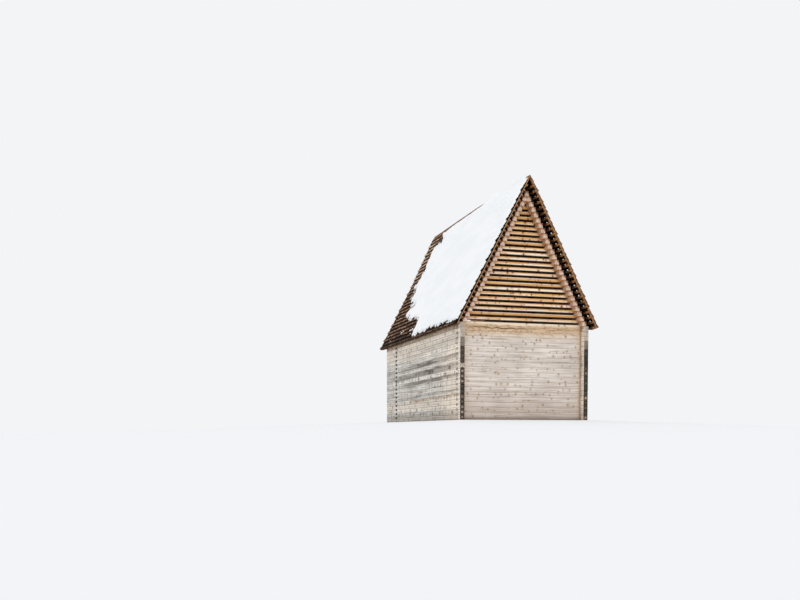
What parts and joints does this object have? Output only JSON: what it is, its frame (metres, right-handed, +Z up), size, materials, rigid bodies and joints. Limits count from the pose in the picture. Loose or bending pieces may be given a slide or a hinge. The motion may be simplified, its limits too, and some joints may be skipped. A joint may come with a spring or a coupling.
{
  "type": "mountain chapel",
  "caption": "Small log chapel of squared timbers with a steep shingled roof on stepped purlins, slatted gables, a closed front and a doorway in a deep rear porch.",
  "frame": {"origin": "middle of the building's plan at the underside of the sills", "axes": "+Z up, +Y along the ridge from the closed slatted gable towards the porch, +X to the right as seen facing the closed gable"},
  "size_m": [4.2644, 7.99, 6.6884],
  "materials": {
    "weathered_side": "sun-greyed squared timber with dark streaks and knots",
    "pale_front": "pale planed timber with red-brown knots",
    "golden_slats": "golden planed timber, paler below",
    "purlin_timber": "pinkish sawn timber with fresh end grain",
    "roof_lathing": "sawn golden-brown battens and rafters",
    "shingles": "split larch shingles, weathered dark brown",
    "verge_lath": "tan sawn lath",
    "door_frame": "planed brown timber",
    "floor_timber": "planed floor boards and sawn joists"
  },
  "bodies": {
    "root": {"door_head": "door_frame", "door_jamb_left": "door_frame", "door_jamb_right": "door_frame", "floor_deck": "floor_timber", "floor_joists": "floor_timber", "front_gable_slats": "golden_slats", "front_sill": "pale_front", "front_wall": "pale_front", "left_battens": "roof_lathing", "left_front_verge_lath": "verge_lath", "left_purlins": "purlin_timber", "left_rafters": "roof_lathing", "left_rear_verge_lath": "verge_lath", "left_ridge_board": "shingles", "left_shingles": "shingles", "left_sill": "weathered_side", "left_wall": "weathered_side", "left_wall_plate": "weathered_side", "rear_gable_slats": "golden_slats", "rear_sill": "pale_front", "rear_wall_left": "pale_front", "rear_wall_over_door": "pale_front", "rear_wall_right": "pale_front", "ridge_timber": "purlin_timber", "right_battens": "roof_lathing", "right_front_verge_lath": "verge_lath", "right_purlins": "purlin_timber", "right_rafters": "roof_lathing", "right_rear_verge_lath": "verge_lath", "right_ridge_board": "shingles", "right_shingles": "shingles", "right_sill": "weathered_side", "right_wall": "weathered_side", "right_wall_plate": "weathered_side"}
  },
  "joints": []
}
